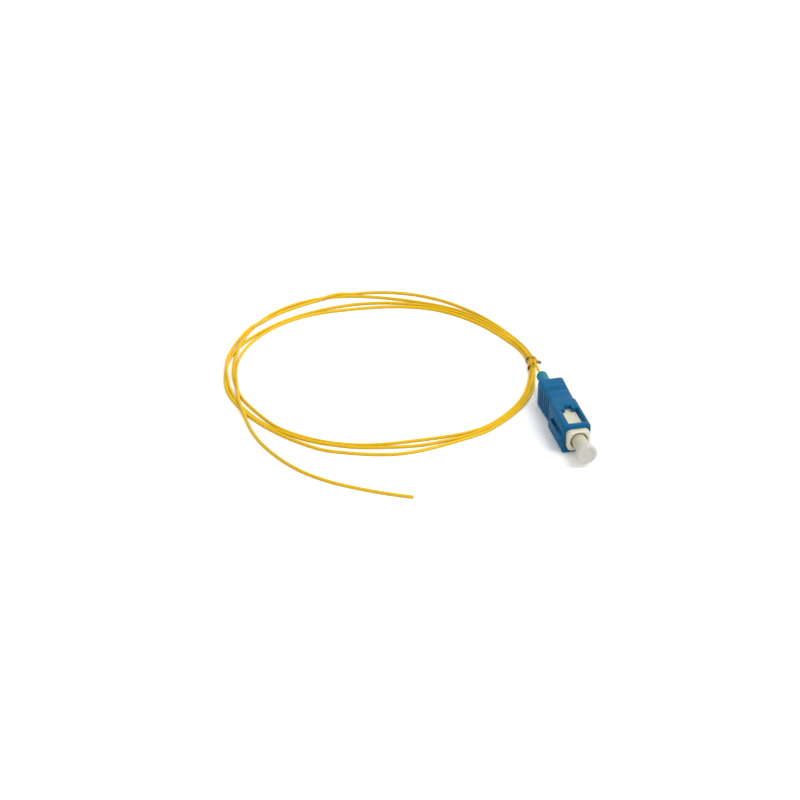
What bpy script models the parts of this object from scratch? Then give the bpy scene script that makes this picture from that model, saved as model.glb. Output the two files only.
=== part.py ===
"""Fibre optic pigtail: a push-pull connector with its dust cap on, and its buffered fibre in a tied coil.

The connector lies along Y with its mouth towards -Y and its key on -X, and rests on z = 0.
Inside the connector, t is the distance behind the grip's front edge, towards the boot.
"""

import math

import bmesh
import bpy
from mathutils import Matrix, Vector

MM = 0.001

# Clearances
SEAT_GAP = 0.3 * MM
SOCKET_GAP = 0.1 * MM
SLEEVE_GAP = 0.2 * MM
RUNNING_GAP = 0.3 * MM

# Fibre, ferrule and its holder
FIBRE_DIAMETER = 0.9 * MM
FERRULE_DIAMETER = 2.5 * MM
FERRULE_LENGTH = 10.5 * MM
FERRULE_TIP_CHAMFER = 0.3 * MM
FERRULE_PROUD = 0.3 * MM
HOLDER_WALL = 0.3 * MM
HOLDER_SOCKET_DEPTH = 3.2 * MM
HOLDER_SOCKET_FLOOR = 0.8 * MM
COLLAR_DIAMETER = 4.4 * MM
COLLAR_LENGTH = 1.5 * MM
HOLDER_TAIL_DIAMETER = 2.6 * MM
HOLDER_TAIL_LENGTH = 3.4 * MM
FERRULE_FLOAT = 0.8 * MM

# Spring behind the holder
SPRING_WIRE = 0.4 * MM
SPRING_DIAMETER = 4.2 * MM
SPRING_TURNS = 5
SPRING_LENGTH = 4.2 * MM

# Plug frame
FRAME_WIDTH = 6.8 * MM
FRAME_HEIGHT = 6.1 * MM
FRAME_CHAMFER = 1.25 * MM
FRAME_PROUD = 1.7 * MM
FRAME_BLOCK_LENGTH = 13.2 * MM
BARREL_DIAMETER = 5.8 * MM
BARREL_LENGTH = 7.0 * MM
MOUTH_DIAMETER = 5.0 * MM
MOUTH_DEPTH = 8.3 * MM
NECK_LENGTH = 1.2 * MM

# Grip
GRIP_WIDTH = 8.3 * MM
GRIP_HEIGHT = 9.0 * MM
GRIP_LENGTH = 26.4 * MM
FRONT_BLOCK_LENGTH = 13.9 * MM
STEP_RAMP = 0.8 * MM
REAR_INSET = 0.2 * MM
GRIP_CORNER = 0.8 * MM
GRIP_END_BEVEL = 0.2 * MM
CAVITY_WALL_AT_STEP = 0.5 * MM
REAR_CAVITY_WALL = 0.6 * MM
REAR_WALL = 1.4 * MM
KEY_WIDTH = 2.0 * MM
KEY_PROUD = 1.0 * MM
KEY_START = 0.3 * MM
KEY_LENGTH = 10.1 * MM
KEY_SLOT_LENGTH = 6.4 * MM
KEY_SLOT_WIDTH = 0.6 * MM
KEY_SLOT_END_WALL = 0.6 * MM
WINDOW_START = 1.4 * MM
WINDOW_LENGTH = 7.8 * MM
WINDOW_WIDTH = 4.7 * MM
WINDOW_NOTCH_LENGTH = 1.8 * MM
WINDOW_NOTCH_WIDTH = 2.1 * MM
SIDE_GROOVES = 5
SIDE_GROOVE_PITCH = 1.8 * MM
SIDE_GROOVE_WIDTH = 0.8 * MM
SIDE_GROOVE_DEPTH = 0.3 * MM
SIDE_GROOVE_START = 16.0 * MM
SIDE_GROOVE_MARGIN = 0.9 * MM
TOP_GROOVES = 2
TOP_GROOVE_PITCH = 1.3 * MM
TOP_GROOVE_WIDTH = 0.35 * MM
TOP_GROOVE_DEPTH = 0.2 * MM
TOP_GROOVE_START = 19.4 * MM
TOP_GROOVE_MARGIN = 1.0 * MM

# Stop body and boot
STOP_PLUG_LENGTH = 3.5 * MM
STOP_FLANGE_LENGTH = 1.2 * MM
STOP_TAIL_DIAMETER = 3.2 * MM
STOP_TAIL_LENGTH = 5.5 * MM
BOOT_BASE_DIAMETER = 5.0 * MM
BOOT_BASE_LENGTH = 7.2 * MM
BOOT_TAPER_LENGTH = 2.4 * MM
BOOT_NECK_DIAMETER = 3.4 * MM
BOOT_END_DIAMETER = 3.2 * MM
BOOT_LENGTH = 15.0 * MM
BOOT_END_ROUND = 0.5 * MM

# Dust cap
CAP_WALL = 0.8 * MM
CAP_REACH = 4.5 * MM
CAP_HEAD_DIAMETER = 6.2 * MM
CAP_HEAD_LENGTH = 2.0 * MM
CAP_HEAD_ROUND = 0.6 * MM
CAP_PROUD = 7.6 * MM
CAP_TIP_ROOM = 1.0 * MM

# Coil, and the tie round it
COIL_CENTRE = (-44.1 * MM, 43.2 * MM)
COIL_OUTER_RADIUS = 47.6 * MM
COIL_BAND = 7.8 * MM
COIL_HEIGHT = 1.9 * MM
COIL_EDGE = 0.4 * MM
COIL_STEPS = 120
TIE_ANGLE = math.radians(-9.0)
TIE_WIDTH = 1.0 * MM
TIE_THICKNESS = 0.5 * MM
TIE_TWIST_DIAMETER = 1.3 * MM
TIE_TWIST_LENGTH = 2.2 * MM
TIED_WIDTH = 4.2 * MM

# Routes of the free stretches of fibre, by hand, in millimetres
LEAD_ROUTE = (
    (0.5, 19.3, 4.5),
    (0.5, 22.3, 4.5),
    (0.55, 25.2, 4.35),
    (0.85, 28.0, 3.9),
    (1.35, 30.6, 3.2),
    (2.17, 34.2, 2.67),
)
TAIL_ROUTE = (
    (-88.3, 22.8, 0.47),
    (-87.8, 17.5, 0.47),
    (-86.2, 11.0, 0.47),
    (-83.7, 4.6, 0.47),
    (-80.9, -0.9, 0.47),
    (-77.6, -5.7, 0.47),
    (-73.2, -10.4, 0.47),
    (-68.3, -14.4, 0.47),
    (-61.7, -18.8, 0.47),
    (-55.0, -22.7, 0.47),
    (-50.8, -24.7, 0.47),
)
ROUTE_STEP = 2.4 * MM

# Fineness of the round shapes
ROUND_STEPS = 32
TWIST_STEPS = 12
ARC_STEPS = 4
SPRING_STEPS_PER_TURN = 12
ROUTE_SUBSTEPS = 20
CORD_SIDES = 2
SHARP_ANGLE = math.radians(30)

# How far a cutter reaches past what it cuts
EPSILON = 0.5 * MM

# Places that follow from the sizes above
FRAME_FRONT = -FRAME_PROUD
FRAME_BLOCK_END = FRAME_FRONT + FRAME_BLOCK_LENGTH
FRAME_END = FRAME_BLOCK_END + BARREL_LENGTH
MOUTH_END = FRAME_FRONT + MOUTH_DEPTH
NECK_END = MOUTH_END + NECK_LENGTH
FERRULE_TIP = FRAME_FRONT - FERRULE_PROUD
FERRULE_END = FERRULE_TIP + FERRULE_LENGTH
SOCKET_DIAMETER = FERRULE_DIAMETER + 2 * SOCKET_GAP
SLEEVE_DIAMETER = SOCKET_DIAMETER + 2 * HOLDER_WALL
NECK_DIAMETER = SLEEVE_DIAMETER + 2 * RUNNING_GAP
REAR_BORE_DIAMETER = COLLAR_DIAMETER + 2 * RUNNING_GAP
SOCKET_END = FERRULE_END + SOCKET_GAP
HOLDER_FRONT = SOCKET_END - HOLDER_SOCKET_DEPTH
COLLAR_START = NECK_END + SEAT_GAP
COLLAR_END = COLLAR_START + COLLAR_LENGTH
HOLDER_END = max(COLLAR_END, SOCKET_END + HOLDER_SOCKET_FLOOR) + HOLDER_TAIL_LENGTH
FIBRE_HOLE_DIAMETER = FIBRE_DIAMETER + 2 * SEAT_GAP
SPRING_START = COLLAR_END + FERRULE_FLOAT + SEAT_GAP
SPRING_END = SPRING_START + SPRING_LENGTH
STOP_START = SPRING_END + SEAT_GAP
STOP_PLUG_DIAMETER = REAR_BORE_DIAMETER - 2 * SEAT_GAP
STOP_FLANGE_START = FRAME_END + SEAT_GAP
STOP_FLANGE_END = STOP_FLANGE_START + STOP_FLANGE_LENGTH
STOP_END = STOP_FLANGE_END + STOP_TAIL_LENGTH
BOOT_START = STOP_FLANGE_END + SEAT_GAP
CAVITY_DIAMETER = BARREL_DIAMETER + 2 * SLEEVE_GAP
WAIST_INSET = GRIP_WIDTH / 2 - CAVITY_DIAMETER / 2 - REAR_CAVITY_WALL
BOOT_END = BOOT_START + BOOT_LENGTH
CAP_FRONT = FRAME_FRONT - CAP_PROUD
CAP_BORE_DIAMETER = SOCKET_DIAMETER
CAP_STEM_DIAMETER = CAP_BORE_DIAMETER + 2 * CAP_WALL
CAP_BACK = FRAME_FRONT + CAP_REACH
AXIS_X = KEY_PROUD / 2
AXIS_Z = GRIP_HEIGHT / 2
FRONT_EDGE_Y = -(CAP_FRONT + BOOT_END) / 2


def clear_scene():
    """Removes whatever the file opened with."""
    for old in list(bpy.data.objects):
        bpy.data.objects.remove(old, do_unlink=True)


def finish(name, colour, roughness, metallic=0.0):
    """A plain Principled material."""
    material = bpy.data.materials.new(name)
    material.use_nodes = True
    shader = material.node_tree.nodes["Principled BSDF"]
    shader.inputs["Base Color"].default_value = (*colour, 1.0)
    shader.inputs["Roughness"].default_value = roughness
    shader.inputs["Metallic"].default_value = metallic
    return material


def place(name, mesh, material=None, parent=None, t=0.0):
    """Puts a mesh in the scene, at t along the connector's axis where it has a parent."""
    piece = bpy.data.objects.new(name, mesh)
    bpy.context.scene.collection.objects.link(piece)
    piece.parent = parent
    piece.location = (0.0, t, 0.0)
    if material:
        mesh.materials.append(material)
    return piece


def mesh_from(name, shape):
    """Turns a bmesh into a smooth-shaded mesh with its faces out."""
    bmesh.ops.recalc_face_normals(shape, faces=shape.faces)
    mesh = bpy.data.meshes.new(name)
    shape.to_mesh(mesh)
    shape.free()
    mesh.shade_smooth()
    mesh.set_sharp_from_angle(angle=SHARP_ANGLE)
    return mesh


def turned(name, profile, steps=ROUND_STEPS):
    """Turns a profile of (t, radius) points round the Y axis.

    A profile whose ends lie on the axis gives a solid, and any other is closed into a tube.
    """
    shape = bmesh.new()
    rings = []
    for t, radius in profile:
        if radius == 0:
            rings.append([shape.verts.new((0.0, t, 0.0))] * steps)
            continue
        ring = []
        for i in range(steps):
            angle = 2 * math.pi * i / steps
            ring.append(shape.verts.new((radius * math.cos(angle), t, radius * math.sin(angle))))
        rings.append(ring)
    count = len(rings) if profile[0][1] > 0 else len(rings) - 1
    for j in range(count):
        near = rings[j]
        far = rings[(j + 1) % len(rings)]
        for i in range(steps):
            k = (i + 1) % steps
            corners = list(dict.fromkeys((near[i], near[k], far[k], far[i])))
            if len(corners) > 2:
                shape.faces.new(corners)
    return mesh_from(name, shape)


def quarter_turn():
    """The angles from 0 to 90 degrees that round off an edge."""
    return [math.pi / 2 * i / ARC_STEPS for i in range(ARC_STEPS + 1)]


def chamfered(width, height, corner):
    """The (x, z) outline of a rectangle with its corners cut off."""
    x = width / 2
    z = height / 2
    cut = corner
    return [
        (x, cut - z),
        (x, z - cut),
        (x - cut, z),
        (cut - x, z),
        (-x, z - cut),
        (-x, cut - z),
        (cut - x, -z),
        (x - cut, -z),
    ]


def lofted(name, sections):
    """Skins a list of (t, outline) sections along Y and caps both ends."""
    shape = bmesh.new()
    rings = []
    for t, outline in sections:
        rings.append([shape.verts.new((x, t, z)) for x, z in outline])
    for near, far in zip(rings, rings[1:]):
        for i in range(len(near)):
            k = (i + 1) % len(near)
            shape.faces.new((near[i], near[k], far[k], far[i]))
    shape.faces.new(rings[0])
    shape.faces.new(rings[-1])
    return mesh_from(name, shape)


def boxes(name, corners):
    """One mesh of separate boxes, each given by its lowest and highest corner."""
    shape = bmesh.new()
    for low, high in corners:
        low = Vector(low)
        high = Vector(high)
        size = high - low
        matrix = Matrix.Translation((low + high) / 2) @ Matrix.Diagonal((*size, 1.0))
        bmesh.ops.create_cube(shape, size=1.0, matrix=matrix)
    return mesh_from(name, shape)


def combine(piece, name, mesh, operation, parent=None, t=0.0):
    """Cuts a helper mesh from a piece, or joins it on."""
    helper = place(name, mesh, parent=parent, t=t)
    helper.hide_render = True
    helper.display_type = "WIRE"
    modifier = piece.modifiers.new(name, "BOOLEAN")
    modifier.operation = operation
    modifier.solver = "EXACT"
    modifier.object = helper
    return helper


def smooth_route(points, step):
    """Points every step along a Catmull-Rom curve through the given millimetre points."""
    knots = [Vector(p) * MM for p in points]
    knots = [2 * knots[0] - knots[1], *knots, 2 * knots[-1] - knots[-2]]
    dense = []
    for a, b, c, d in zip(knots, knots[1:], knots[2:], knots[3:]):
        for i in range(ROUTE_SUBSTEPS):
            s = i / ROUTE_SUBSTEPS
            square = (2 * a - 5 * b + 4 * c - d) * s**2
            cube = (3 * b - a - 3 * c + d) * s**3
            dense.append(0.5 * (2 * b + (c - a) * s + square + cube))
    dense.append(knots[-2])
    length = sum((q - p).length for p, q in zip(dense, dense[1:]))
    count = max(3, round(length / step))
    route = [dense[0]]
    run = 0.0
    for p, q in zip(dense, dense[1:]):
        run += (q - p).length
        if run >= length * len(route) / count and len(route) < count:
            route.append(q)
    route.append(dense[-1])
    return route


def cord(name, points, diameter, material):
    """A round tube along a list of points, with closed ends."""
    curve = bpy.data.curves.new(name, "CURVE")
    curve.dimensions = "3D"
    curve.bevel_depth = diameter / 2
    curve.bevel_resolution = CORD_SIDES
    curve.use_fill_caps = True
    spline = curve.splines.new("POLY")
    spline.points.add(len(points) - 1)
    for target, point in zip(spline.points, points):
        target.co = (*point, 1.0)
    curve.materials.append(material)
    piece = bpy.data.objects.new(name, curve)
    bpy.context.scene.collection.objects.link(piece)
    return piece


def make_grip(material, parent):
    """The push-pull sleeve: stepped block, key, windows, cavity and finger grooves."""
    waist_width = GRIP_WIDTH - 2 * WAIST_INSET
    waist_height = GRIP_HEIGHT - 2 * WAIST_INSET
    rear_width = GRIP_WIDTH - 2 * REAR_INSET
    rear_height = GRIP_HEIGHT - 2 * REAR_INSET
    waist = FRONT_BLOCK_LENGTH + STEP_RAMP
    bevel = 2 * GRIP_END_BEVEL
    sections = [
        (0.0, chamfered(GRIP_WIDTH - bevel, GRIP_HEIGHT - bevel, GRIP_CORNER)),
        (GRIP_END_BEVEL, chamfered(GRIP_WIDTH, GRIP_HEIGHT, GRIP_CORNER)),
        (FRONT_BLOCK_LENGTH, chamfered(GRIP_WIDTH, GRIP_HEIGHT, GRIP_CORNER)),
        (waist, chamfered(waist_width, waist_height, GRIP_CORNER)),
        (GRIP_LENGTH - GRIP_END_BEVEL, chamfered(rear_width, rear_height, GRIP_CORNER)),
        (GRIP_LENGTH, chamfered(rear_width - bevel, rear_height - bevel, GRIP_CORNER)),
    ]
    grip = place("grip_housing", lofted("grip_housing", sections), material, parent)

    side = GRIP_WIDTH / 2
    key_low = (-side - KEY_PROUD, KEY_START, -KEY_WIDTH / 2)
    key_high = (-side + EPSILON, KEY_START + KEY_LENGTH, KEY_WIDTH / 2)
    combine(grip, "key_form", boxes("key_form", [(key_low, key_high)]), "UNION", parent)

    slot_end = KEY_START + KEY_LENGTH - KEY_SLOT_END_WALL
    slot_low = (-side - KEY_SLOT_WIDTH, slot_end - KEY_SLOT_LENGTH, -KEY_WIDTH)
    slot_high = (-side, slot_end, KEY_WIDTH)
    combine(grip, "key_slot", boxes("key_slot", [(slot_low, slot_high)]), "DIFFERENCE", parent)

    chamber_end = FRONT_BLOCK_LENGTH - CAVITY_WALL_AT_STEP
    outline = chamfered(FRAME_WIDTH + 2 * SLEEVE_GAP, FRAME_HEIGHT + 2 * SLEEVE_GAP, FRAME_CHAMFER)
    chamber = lofted("front_chamber", [(-EPSILON, outline), (chamber_end, outline)])
    combine(grip, "front_chamber", chamber, "DIFFERENCE", parent)

    cavity_radius = CAVITY_DIAMETER / 2
    hole_radius = BOOT_BASE_DIAMETER / 2 + RUNNING_GAP
    wall_start = GRIP_LENGTH - REAR_WALL
    profile = [
        (chamber_end - EPSILON, 0.0),
        (chamber_end - EPSILON, cavity_radius),
        (wall_start, cavity_radius),
        (wall_start, hole_radius),
        (GRIP_LENGTH + EPSILON, hole_radius),
        (GRIP_LENGTH + EPSILON, 0.0),
    ]
    combine(grip, "rear_cavity", turned("rear_cavity", profile), "DIFFERENCE", parent)

    reach = GRIP_HEIGHT / 2 + EPSILON
    window_low = (-WINDOW_WIDTH / 2, WINDOW_START, -reach)
    window_end = WINDOW_START + WINDOW_LENGTH
    window_high = (WINDOW_WIDTH / 2, window_end, reach)
    combine(grip, "windows", boxes("windows", [(window_low, window_high)]), "DIFFERENCE", parent)
    notch_low = (-WINDOW_NOTCH_WIDTH / 2, window_end - EPSILON, -reach)
    notch_high = (WINDOW_NOTCH_WIDTH / 2, window_end + WINDOW_NOTCH_LENGTH, reach)
    notch = boxes("window_notches", [(notch_low, notch_high)])
    combine(grip, "window_notches", notch, "DIFFERENCE", parent)

    flare = (WAIST_INSET - REAR_INSET) / (GRIP_LENGTH - GRIP_END_BEVEL - waist)
    cuts = []
    half_tall = waist_height / 2 - SIDE_GROOVE_MARGIN
    for i in range(SIDE_GROOVES):
        start = SIDE_GROOVE_START + i * SIDE_GROOVE_PITCH
        skin = waist_width / 2 + flare * (start - waist)
        for sign in (-1, 1):
            xs = sorted((sign * (skin - SIDE_GROOVE_DEPTH), sign * (skin + EPSILON)))
            cuts.append(((xs[0], start, -half_tall), (xs[1], start + SIDE_GROOVE_WIDTH, half_tall)))
    half_wide = waist_width / 2 - TOP_GROOVE_MARGIN
    for i in range(TOP_GROOVES):
        start = TOP_GROOVE_START + i * TOP_GROOVE_PITCH
        skin = waist_height / 2 + flare * (start - waist)
        for sign in (-1, 1):
            zs = sorted((sign * (skin - TOP_GROOVE_DEPTH), sign * (skin + EPSILON)))
            cuts.append(((-half_wide, start, zs[0]), (half_wide, start + TOP_GROOVE_WIDTH, zs[1])))
    combine(grip, "finger_grooves", boxes("finger_grooves", cuts), "DIFFERENCE", parent)
    return grip


def make_frame(material, parent):
    """The plug frame: chamfered block, round barrel, and its stepped bore."""
    outline = chamfered(FRAME_WIDTH, FRAME_HEIGHT, FRAME_CHAMFER)
    block = lofted("plug_frame", [(FRAME_FRONT, outline), (FRAME_BLOCK_END, outline)])
    frame = place("plug_frame", block, material, parent)

    barrel_radius = BARREL_DIAMETER / 2
    barrel = [
        (FRAME_BLOCK_END - EPSILON, 0.0),
        (FRAME_BLOCK_END - EPSILON, barrel_radius),
        (FRAME_END, barrel_radius),
        (FRAME_END, 0.0),
    ]
    combine(frame, "barrel_form", turned("barrel_form", barrel), "UNION", parent)

    bore = [
        (FRAME_FRONT - EPSILON, 0.0),
        (FRAME_FRONT - EPSILON, MOUTH_DIAMETER / 2),
        (MOUTH_END, MOUTH_DIAMETER / 2),
        (MOUTH_END, NECK_DIAMETER / 2),
        (NECK_END, NECK_DIAMETER / 2),
        (NECK_END, REAR_BORE_DIAMETER / 2),
        (FRAME_END + EPSILON, REAR_BORE_DIAMETER / 2),
        (FRAME_END + EPSILON, 0.0),
    ]
    combine(frame, "frame_bore", turned("frame_bore", bore), "DIFFERENCE", parent)
    return frame


def make_ferrule(material, parent):
    """The ceramic ferrule, a plain pin with a chamfered tip."""
    radius = FERRULE_DIAMETER / 2
    profile = [
        (0.0, 0.0),
        (0.0, radius - FERRULE_TIP_CHAMFER),
        (FERRULE_TIP_CHAMFER, radius),
        (FERRULE_LENGTH, radius),
        (FERRULE_LENGTH, 0.0),
    ]
    return place("ferrule", turned("ferrule", profile), material, parent, FERRULE_TIP)


def make_holder(material, parent):
    """The metal holder behind the ferrule: socket sleeve, collar and tail."""
    profile = [
        (HOLDER_FRONT, SOCKET_DIAMETER / 2),
        (HOLDER_FRONT, SLEEVE_DIAMETER / 2),
        (COLLAR_START, SLEEVE_DIAMETER / 2),
        (COLLAR_START, COLLAR_DIAMETER / 2),
        (COLLAR_END, COLLAR_DIAMETER / 2),
        (COLLAR_END, HOLDER_TAIL_DIAMETER / 2),
        (HOLDER_END, HOLDER_TAIL_DIAMETER / 2),
        (HOLDER_END, FIBRE_HOLE_DIAMETER / 2),
        (SOCKET_END, FIBRE_HOLE_DIAMETER / 2),
        (SOCKET_END, SOCKET_DIAMETER / 2),
    ]
    return place("ferrule_holder", turned("ferrule_holder", profile), material, parent)


def make_spring(material, parent):
    """The coil spring between the holder's collar and the stop body."""
    radius = (SPRING_DIAMETER - SPRING_WIRE) / 2
    steps = SPRING_STEPS_PER_TURN * SPRING_TURNS
    first = SPRING_START + SPRING_WIRE / 2
    rise = SPRING_LENGTH - SPRING_WIRE
    points = []
    for i in range(steps + 1):
        angle = 2 * math.pi * SPRING_TURNS * i / steps
        points.append((radius * math.cos(angle), first + rise * i / steps, radius * math.sin(angle)))
    spring = cord("ferrule_spring", points, SPRING_WIRE, material)
    spring.parent = parent
    return spring


def make_stop(material, parent):
    """The stop body that closes the frame's rear end and carries the boot."""
    profile = [
        (STOP_START, FIBRE_HOLE_DIAMETER / 2),
        (STOP_START, STOP_PLUG_DIAMETER / 2),
        (STOP_FLANGE_START, STOP_PLUG_DIAMETER / 2),
        (STOP_FLANGE_START, BARREL_DIAMETER / 2),
        (STOP_FLANGE_END, BARREL_DIAMETER / 2),
        (STOP_FLANGE_END, STOP_TAIL_DIAMETER / 2),
        (STOP_END, STOP_TAIL_DIAMETER / 2),
        (STOP_END, FIBRE_HOLE_DIAMETER / 2),
    ]
    return place("stop_body", turned("stop_body", profile), material, parent)


def make_boot(material, parent):
    """The strain relief boot: stout base, short taper and a slim rounded end."""
    base = BOOT_BASE_DIAMETER / 2
    neck = BOOT_NECK_DIAMETER / 2
    end = BOOT_END_DIAMETER / 2
    hole = FIBRE_HOLE_DIAMETER / 2
    socket = STOP_TAIL_DIAMETER / 2 + SEAT_GAP
    socket_end = STOP_END - BOOT_START + SEAT_GAP
    profile = [
        (0.0, socket),
        (0.0, base),
        (BOOT_BASE_LENGTH, base),
        (BOOT_BASE_LENGTH + BOOT_TAPER_LENGTH, neck),
    ]
    for angle in quarter_turn():
        along = BOOT_LENGTH - BOOT_END_ROUND * (1 - math.sin(angle))
        profile.append((along, end - BOOT_END_ROUND * (1 - math.cos(angle))))
    profile += [
        (BOOT_LENGTH, hole),
        (socket_end, hole),
        (socket_end, socket),
    ]
    return place("boot", turned("boot", profile), material, parent, BOOT_START)


def make_cap(material, parent):
    """The dust cap: a tube over the ferrule with a round head."""
    bore = CAP_BORE_DIAMETER / 2
    stem = CAP_STEM_DIAMETER / 2
    head = CAP_HEAD_DIAMETER / 2
    bore_end = FERRULE_TIP - CAP_TIP_ROOM
    head_back = CAP_FRONT + CAP_HEAD_LENGTH
    profile = [(CAP_FRONT, 0.0)]
    for angle in quarter_turn():
        along = CAP_FRONT + CAP_HEAD_ROUND * (1 - math.cos(angle))
        profile.append((along, head - CAP_HEAD_ROUND * (1 - math.sin(angle))))
    for angle in quarter_turn():
        along = head_back - CAP_HEAD_ROUND * (1 - math.sin(angle))
        profile.append((along, head - CAP_HEAD_ROUND * (1 - math.cos(angle))))
    profile += [
        (head_back, stem),
        (CAP_BACK, stem),
        (CAP_BACK, bore),
        (bore_end, bore),
        (bore_end, 0.0),
    ]
    return place("dust_cap", turned("dust_cap", profile), material, parent)


def make_coil(material):
    """The tied coil's outer shape: a turned ring, notched underneath where the tie passes."""
    outer = COIL_OUTER_RADIUS
    inner = outer - COIL_BAND
    edge = COIL_EDGE
    profile = [
        (0.0, inner + edge),
        (0.0, outer - edge),
        (edge, outer),
        (COIL_HEIGHT - edge, outer),
        (COIL_HEIGHT, outer - edge),
        (COIL_HEIGHT, inner + edge),
        (COIL_HEIGHT - edge, inner),
        (edge, inner),
    ]
    mesh = turned("fibre_coil", profile, COIL_STEPS)
    mesh.transform(Matrix.Rotation(math.radians(90), 4, "X"))
    coil = place("fibre_coil", mesh, material)
    coil.location = (*COIL_CENTRE, 0.0)
    reach = outer + EPSILON
    start = inner - EPSILON
    under = TIE_THICKNESS + SEAT_GAP
    over = COIL_HEIGHT + EPSILON
    waist = outer - TIED_WIDTH
    outline = [
        (start, -EPSILON),
        (reach, -EPSILON),
        (reach, under),
        (waist, under),
        (waist, over),
        (start, over),
    ]
    half_wide = TIE_WIDTH / 2 + SEAT_GAP
    notch = lofted("tie_notch", [(-half_wide, outline), (half_wide, outline)])
    notch.transform(Matrix.Rotation(TIE_ANGLE, 4, "Z"))
    combine(coil, "tie_notch", notch, "DIFFERENCE").location = coil.location
    return coil


def make_tie(material):
    """The twist tie: a flat loop round the bundle, with its twisted ends pointing outwards."""
    low = COIL_OUTER_RADIUS - TIED_WIDTH - SEAT_GAP
    high = COIL_OUTER_RADIUS + SEAT_GAP
    top = COIL_HEIGHT + SEAT_GAP
    thick = TIE_THICKNESS
    half = TIE_WIDTH / 2
    turn = Matrix.Rotation(TIE_ANGLE, 4, "Z")
    loop = boxes("twist_tie", [((low - thick, -half, 0.0), (high + thick, half, top + thick))])
    inside = boxes("tie_inside", [((low, -TIE_WIDTH, thick), (high, TIE_WIDTH, top))])
    radius = TIE_TWIST_DIAMETER / 2
    end = TIE_TWIST_LENGTH
    twist = turned("tie_twist", [(0.0, 0.0), (0.0, radius), (end, radius), (end, 0.0)], TWIST_STEPS)
    twist.transform(Matrix.Rotation(math.radians(-90), 4, "Z"))
    twist.transform(Matrix.Translation((high + thick / 2, 0.0, COIL_HEIGHT / 2)))
    for mesh in (loop, inside, twist):
        mesh.transform(turn)
    tie = place("twist_tie", loop, material)
    tie.location = (*COIL_CENTRE, 0.0)
    combine(tie, "tie_inside", inside, "DIFFERENCE").location = tie.location
    combine(tie, "tie_twist", twist, "UNION").location = tie.location
    return tie


def main():
    """Builds the pigtail."""
    clear_scene()
    blue = finish("grip_blue", (0.01, 0.13, 0.33), 0.42)
    cream = finish("frame_cream", (0.80, 0.77, 0.65), 0.42)
    ceramic = finish("ferrule_ceramic", (0.88, 0.88, 0.86), 0.18)
    metal = finish("nickel", (0.62, 0.61, 0.58), 0.3, 1.0)
    teal = finish("boot_teal", (0.03, 0.24, 0.34), 0.5)
    milky = finish("cap_milky", (0.66, 0.63, 0.58), 0.45)
    yellow = finish("fibre_yellow", (0.80, 0.53, 0.02), 0.45)
    brown = finish("tie_brown", (0.30, 0.17, 0.05), 0.35)

    axis = bpy.data.objects.new("connector_axis", None)
    bpy.context.scene.collection.objects.link(axis)
    axis.location = (AXIS_X, FRONT_EDGE_Y, AXIS_Z)

    make_grip(blue, axis)
    make_frame(cream, axis)
    make_ferrule(ceramic, axis)
    make_holder(metal, axis)
    make_spring(metal, axis)
    make_stop(metal, axis)
    make_boot(teal, axis)
    make_cap(milky, axis)
    make_coil(yellow)
    make_tie(brown)
    cord("fibre_lead", smooth_route(LEAD_ROUTE, ROUTE_STEP), FIBRE_DIAMETER, yellow)
    cord("fibre_tail", smooth_route(TAIL_ROUTE, ROUTE_STEP), FIBRE_DIAMETER, yellow)


main()
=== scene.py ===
"""Looks of the fibre optic pigtail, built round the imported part.

The connector lies along Y with its mouth towards -Y and its key on -X, and rests on the floor at z = 0.
The fibre leaves the boot along +Y, runs three and a half turns anticlockwise and ends bare.
Sizes are in millimetres. Inside the connector, t is the distance behind the grip's front edge.
"""

import logging
import math
from dataclasses import dataclass, field
from enum import Enum
from typing import ClassVar

import bmesh
import bpy
import numpy as np
from mathutils import Matrix, Vector


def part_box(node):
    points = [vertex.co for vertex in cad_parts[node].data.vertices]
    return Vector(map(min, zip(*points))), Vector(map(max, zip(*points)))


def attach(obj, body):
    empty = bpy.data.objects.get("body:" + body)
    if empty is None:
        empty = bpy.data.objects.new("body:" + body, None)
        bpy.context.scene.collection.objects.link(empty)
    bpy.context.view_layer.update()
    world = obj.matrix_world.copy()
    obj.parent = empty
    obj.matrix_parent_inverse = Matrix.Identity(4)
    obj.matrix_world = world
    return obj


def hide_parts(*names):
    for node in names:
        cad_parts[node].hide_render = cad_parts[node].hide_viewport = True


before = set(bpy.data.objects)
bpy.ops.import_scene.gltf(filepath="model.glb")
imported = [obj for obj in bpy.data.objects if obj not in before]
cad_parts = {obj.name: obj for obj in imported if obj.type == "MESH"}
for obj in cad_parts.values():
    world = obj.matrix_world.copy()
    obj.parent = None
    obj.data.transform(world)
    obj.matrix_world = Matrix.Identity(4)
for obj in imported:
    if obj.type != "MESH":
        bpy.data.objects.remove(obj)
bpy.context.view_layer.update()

MM = 0.001
LOG = logging.getLogger("pigtail")

FIBRE_DIAMETER = 0.9
FERRULE_DIAMETER = 2.5
ROUND_STEPS = 96
ARC_STEPS = 6

Outline = list[tuple[float, float]]
Profile = list[tuple[float, float]]


class Body(Enum):
    """The rigid bodies that pieces ride on."""

    PLUG = "plug"
    GRIP = "grip"
    FERRULE = "ferrule"
    CAP = "cap"


class Slot(Enum):
    """The record's material slots."""

    GRIP = "grip_blue"
    FRAME = "frame_cream"
    CERAMIC = "ferrule_ceramic"
    METAL = "nickel"
    BOOT = "boot_teal"
    CAP = "cap_milky"
    FIBRE = "fibre_yellow"
    TIE = "tie_brown"


def plug_origin() -> Vector:
    """Finds the point on the connector's axis at the grip's front edge.

    Returns:
        The point, in metres.
    """
    low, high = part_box("ferrule")
    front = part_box("grip_housing")[0][1]
    return Vector(((low[0] + high[0]) / 2, front, (low[2] + high[2]) / 2))


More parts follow.
